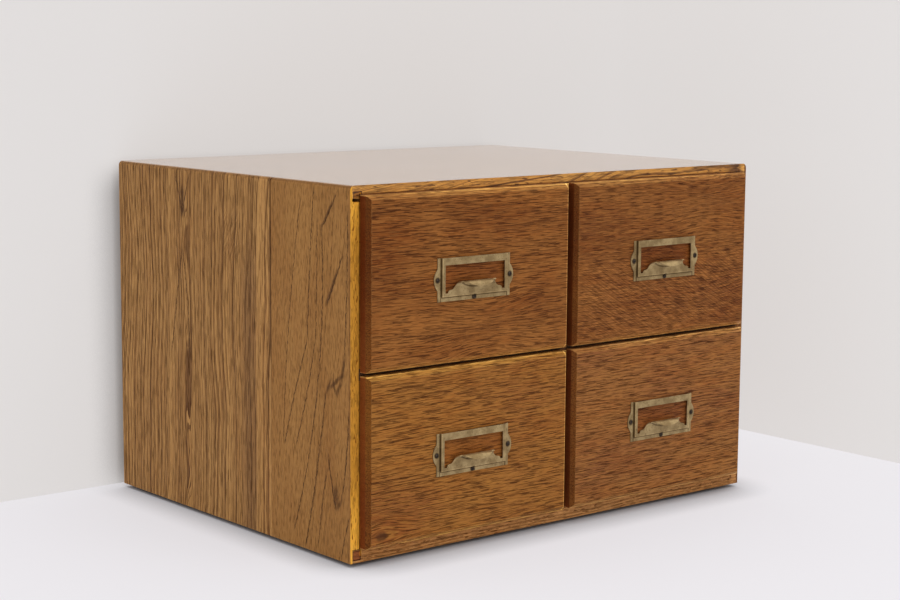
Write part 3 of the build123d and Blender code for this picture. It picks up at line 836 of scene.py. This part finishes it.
def pullPatches(middle):
    shape, patches = pullShape, []
    side, low, frame = shape["frameSide"], shape["frameLow"], shape["frameHalf"]
    outside, inside = shape["outside"], shape["inside"]

    def mark(kind, offset, **more):
        patches.append(dict(kind, centre=middle + Vector(offset), **more))

    for hand in (-1, 1):
        mark(grimeAndShade, (hand * (side + outside), 0, 0), half=(0.0003, None, frame), fade=(0.0006, None, 0.0002))
        mark(rubbedHighlight, (hand * (side - inside), 0, 0), half=(0.0003, None, frame), fade=(0.0005, None, 0.0002))
        mark(dirtSpot, (hand * shape["screwSide"], 0, 0))
    mark(grimeAndShade, (0, 0, low - outside), half=(side, None, 0.0002), fade=(0.0004, None, 0.0006))
    mark(rubbedHighlight, (0, 0, low + inside), half=(side, None, 0.0003), fade=(0.0004, None, 0.0005))
    mark(dirtSpot, (0, 0, shape["screwLow"]))
    # painted shade under the rolled edge, and a painted highlight, partly worn metal, on the roll itself
    mark(grimeAndShade, (0, 0, shape["crest"] + shape["rollArc"] - shape["rollDrop"]),
         radius=shape["rollArc"] + shape["arcLower"], band=0.0003, soft=0.0008,
         half=(shape["tabHalf"], None, None), fade=(0.002, None, None))
    mark(rubbedHighlight, (0, shape["rollFront"] - middle.y, shape["crest"] - shape["rollDrop"] / 2),
         half=(None, shape["rollHalf"], None), fade=(None, 0.0008, None))
    return patches


screwLook = dict(base=paint(40, 32, 26), worn=paint(74, 60, 46), dark=paint(22, 17, 14), speck=0.6, seed=5.0,
                 patchSize=0.002, rough=0.5, relief=0.3, metallic=0.6)
bradLook = dict(screwLook, base=paint(84, 80, 76), worn=paint(116, 110, 104), dark=paint(60, 42, 30),
                speck=0.7, seed=8.0, metallic=0.85)
screwMetal = makeMetal("darkScrewMetal", screwLook)
bradMetal = makeMetal("bradSteel", bradLook)
pullArris = 0.00022
for turn, drawer in enumerate(drawers):
    node = f"{drawer}_pull"
    low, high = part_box(node)
    look = dict(pullLook, seed=3.0 + turn)
    dress(nodes[node], makeMetal(titled(node, "Metal"), look, pullPatches((low + high) / 2)))
    soften(nodes[node], pullArris)
for name in nodes:
    if name.endswith("_pull_screws"):
        dress(nodes[name], screwMetal)
    elif name.endswith("_brads"):
        dress(nodes[name], bradMetal)
print("metals dressed")

# slotted round-head screws of the pulls

screwShape = dict(
    headRadius=0.0023, headHeight=0.0015, shankRadius=0.00105, shankLength=0.0115, tipLength=0.002,
    tipSize=0.12, threads=9, threadDepth=0.78, slotWidth=0.0006, slotDepth=0.0007, sides=24, rings=28,
    smoothBelow=35, slotTurns=(20, 75, -35))


def modelScrew():
    # a dome cut from a ball, its slot cut across, then the shank drawn out below
    shape = screwShape
    radius, height = shape["headRadius"], shape["headHeight"]
    ball = (radius ** 2 + height ** 2) / (2 * height)
    bpy.ops.mesh.primitive_uv_sphere_add(segments=shape["sides"], ring_count=shape["rings"], radius=ball,
                                         location=(0, 0, height - ball))
    screw = bpy.context.object
    screw.name = "pullScrew"
    bpy.ops.object.transform_apply()
    bpy.ops.object.mode_set(mode="EDIT")
    bpy.ops.mesh.select_all(action="SELECT")
    bpy.ops.mesh.bisect(plane_co=(0, 0, 0), plane_no=(0, 0, 1), use_fill=True, clear_inner=True,
                        threshold=1e-7)
    bpy.ops.object.mode_set(mode="OBJECT")
    bpy.ops.mesh.primitive_cube_add(size=1, location=(0, 0, height), scale=(
        radius * 3, shape["slotWidth"], shape["slotDepth"] * 2))
    cutter = bpy.context.object
    bpy.ops.object.transform_apply()
    activate(screw)
    cut = screw.modifiers.new("slot", "BOOLEAN")
    cut.operation, cut.solver, cut.object = "DIFFERENCE", "EXACT", cutter
    bpy.ops.object.modifier_apply(modifier=cut.name)
    bpy.data.objects.remove(cutter)
    bpy.ops.object.mode_set(mode="EDIT")
    pick(screw, "FACE", lambda face: face.normal.z < -0.9 and face.calc_center_median().z < 1e-5)
    if not any(face.select for face in bmesh.from_edit_mesh(screw.data).faces):
        raise RuntimeError("the underside of the screw's head was not found")
    bpy.ops.mesh.inset(thickness=radius - shape["shankRadius"])
    plain = shape["shankLength"] - shape["tipLength"]
    pitch = plain / (shape["threads"] * 2 + 2)
    bpy.ops.mesh.extrude_region_move(TRANSFORM_OT_translate={"value": (0, 0, -pitch * 2)})
    for turn in range(shape["threads"]):
        for size in (shape["threadDepth"], 1 / shape["threadDepth"]):
            bpy.ops.mesh.extrude_region_move(TRANSFORM_OT_translate={"value": (0, 0, -pitch)})
            bpy.ops.transform.resize(value=(size, size, 1))
    bpy.ops.mesh.extrude_region_move(TRANSFORM_OT_translate={"value": (0, 0, -shape["tipLength"])})
    bpy.ops.transform.resize(value=(shape["tipSize"], shape["tipSize"], 1))
    bpy.ops.object.mode_set(mode="OBJECT")
    bpy.ops.object.shade_smooth_by_angle(angle=math.radians(shape["smoothBelow"]))
    return screw


def placeScrews(model, drawer):
    # three copies at the lobes and the middle of the lower edge, heads outward
    node = f"{drawer}_pull_screws"
    low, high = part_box(node)
    radius = screwShape["headRadius"]
    seat = low.y + screwShape["headHeight"]
    spots = [(low.x + radius, high.z - radius), (high.x - radius, high.z - radius),
             ((low.x + high.x) / 2, low.z + radius)]
    copies = []
    for (x, z), turn in zip(spots, screwShape["slotTurns"]):
        screw = model.copy()
        screw.data = model.data.copy()
        link(screw)
        screw.data.transform(Matrix.Translation((x, seat, z)) @ Matrix.Rotation(math.radians(90), 4, "X")
                             @ Matrix.Rotation(math.radians(turn), 4, "Z"))
        copies.append(screw)
    activate(copies[0])
    for screw in copies[1:]:
        screw.select_set(True)
    bpy.ops.object.join()
    joined = copies[0]
    joined.name = f"{drawer}_slotted_screws"
    joined.data.materials.append(screwMetal)
    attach(joined, drawer)
    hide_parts(node)


screwModel = modelScrew()
for drawer in drawers:
    placeScrews(screwModel, drawer)
bpy.data.objects.remove(screwModel)
print("pull screws ready")

# stage

stageLook = dict(size=9.0, wallY=0.236, wallX=0.497, wallHeight=2.2, rough=0.75, gloss=0.1, shadeFade=0.05)
tableLook = dict(colour=paint(238, 237, 242), shown=paint(234, 231, 234), share=0.65, reach=0.045, depth=1.2,
                 shadeTop=9.0)
wallLook = dict(colour=paint(246, 244, 243), shown=paint(225, 221, 219), share=0.65, reach=0.05, depth=3.9,
                shadeTop=0.31)


def makeStageMaterial(name, look, oneSided):
    # the camera sees part of it as even pale paper, with painted shade only where a piece stands close
    material, shader = newMaterial(name)
    feed(look["colour"], shader.inputs["Base Color"])
    feed(stageLook["rough"], shader.inputs["Roughness"])
    feed(stageLook["gloss"], shader.inputs["Specular IOR Level"])
    near = addNode("ShaderNodeAmbientOcclusion", {"Distance": look["reach"]}, samples=8)
    height = split(addNode("ShaderNodeTexCoord").outputs["Object"])[2]
    top = look["shadeTop"]
    shade = calc("POWER", near.outputs["AO"],
                 ramp(height, top, top + stageLook["shadeFade"], look["depth"], 0.0))
    paper = blendColour(1.0, look["shown"], join(shade, shade, shade), mode="MULTIPLY")
    paper = addNode("ShaderNodeEmission", {"Color": paper}).outputs[0]
    shown = mixShaders(times(seenDirectly(), look["share"]), shader.outputs[0], paper)
    if oneSided:
        # seen from outside, the wall is clear, so the case shows from behind
        outside = addNode("ShaderNodeNewGeometry").outputs["Backfacing"]
        shown = mixShaders(outside, shown, addNode("ShaderNodeBsdfTransparent").outputs[0])
    feed(shown, bench["tree"].nodes["Material Output"].inputs["Surface"])
    return material


def makeTable():
    bpy.ops.mesh.primitive_plane_add(size=stageLook["size"] * 2, location=(0, 0, 0))
    table = bpy.context.object
    table.name = "tableTop"
    table.data.materials.append(makeStageMaterial("paleTable", tableLook, False))
    table.visible_shadow = False


def makeWalls():
    # two sides of a box that face the room, shaded smooth across their corner
    size, height = stageLook["size"], stageLook["wallHeight"]
    cornerX, cornerY = stageLook["wallX"], stageLook["wallY"]
    bpy.ops.mesh.primitive_cube_add(size=1, scale=(size, size, height), location=(
        cornerX - size / 2, cornerY - size / 2, height / 2))
    walls = bpy.context.object
    walls.name = "roomWalls"
    bpy.ops.object.transform_apply()
    bpy.ops.object.mode_set(mode="EDIT")
    pick(walls, "FACE", lambda face: face.normal.x < 0.5 and face.normal.y < 0.5)
    bpy.ops.mesh.delete(type="FACE")
    bpy.ops.mesh.select_all(action="SELECT")
    bpy.ops.mesh.flip_normals()
    bpy.ops.object.mode_set(mode="OBJECT")
    bpy.ops.object.shade_smooth()
    walls.data.materials.append(makeStageMaterial("paleWall", wallLook, True))
    walls.visible_diffuse = False
    walls.visible_shadow = False
    walls.visible_transmission = False


makeTable()
makeWalls()
print("stage ready")

# light: a pale sky that is dark below the table, and one soft box

lightLook = dict(skyLow=0.66, skyHigh=1.0, skyTop=0.8, skyFoot=-0.02, sky=(1.0, 0.997, 0.995, 1.0),
                 seenLow=(0.7, 0.685, 0.675, 1.0), seenHigh=(1.0, 0.985, 0.975, 1.0), seenTop=0.7,
                 boxPower=19.0, boxSize=1.8, boxPlace=(0.1, -1.7, 2.3), boxAim=(0, 0, 0.15))
world = bpy.data.worlds.new("paleRoom")
bpy.context.scene.world = world
world.use_nodes = True
bench["tree"] = world.node_tree
background = world.node_tree.nodes["Background"]
feed(lightLook["sky"], background.inputs["Color"])
height = split(addNode("ShaderNodeTexCoord").outputs["Generated"])[2]
strength = ramp(height, 0.0, lightLook["skyTop"], lightLook["skyLow"], lightLook["skyHigh"])
strength = times(strength, ramp(height, lightLook["skyFoot"], 0.0))
feed(strength, background.inputs["Strength"])
seen = blendColour(ramp(height, 0.0, lightLook["seenTop"]), lightLook["seenLow"], lightLook["seenHigh"])
seen = addNode("ShaderNodeBackground", {"Color": seen}).outputs[0]
shown = mixShaders(seenDirectly(), background.outputs[0], seen)
feed(shown, world.node_tree.nodes["World Output"].inputs["Surface"])

boxLight = bpy.data.lights.new("softBox", "AREA")
boxLight.energy = lightLook["boxPower"]
boxLight.size = lightLook["boxSize"]
boxObject = bpy.data.objects.new("softBox", boxLight)
link(boxObject)
boxObject.location = lightLook["boxPlace"]
toward = Vector(lightLook["boxAim"]) - boxObject.location
boxObject.rotation_euler = toward.to_track_quat("-Z", "Y").to_euler()
print("lights ready")

# camera

cameraLook = dict(lens=76.67, sensor=36.0, azimuth=-39.639, elevation=7.927, roll=0.386,
                  place=(-1.28777, -1.56977, 0.48921))
azimuth, elevation, roll = (math.radians(cameraLook[key]) for key in ("azimuth", "elevation", "roll"))
back = Vector((math.sin(azimuth) * math.cos(elevation), -math.cos(azimuth) * math.cos(elevation),
               math.sin(elevation)))
level = Vector((0, 0, 1)).cross(back).normalized()
above = back.cross(level)
right = math.cos(roll) * level + math.sin(roll) * above
up = math.cos(roll) * above - math.sin(roll) * level
turned = Matrix((right, up, back)).transposed().to_4x4()
camera = bpy.data.objects.new("camera", bpy.data.cameras.new("camera"))
link(camera)
camera.data.lens = cameraLook["lens"]
camera.data.sensor_width = cameraLook["sensor"]
camera.matrix_world = Matrix.Translation(cameraLook["place"]) @ turned
bpy.context.scene.camera = camera
bpy.context.scene.view_settings.view_transform = "Standard"
print("camera ready")
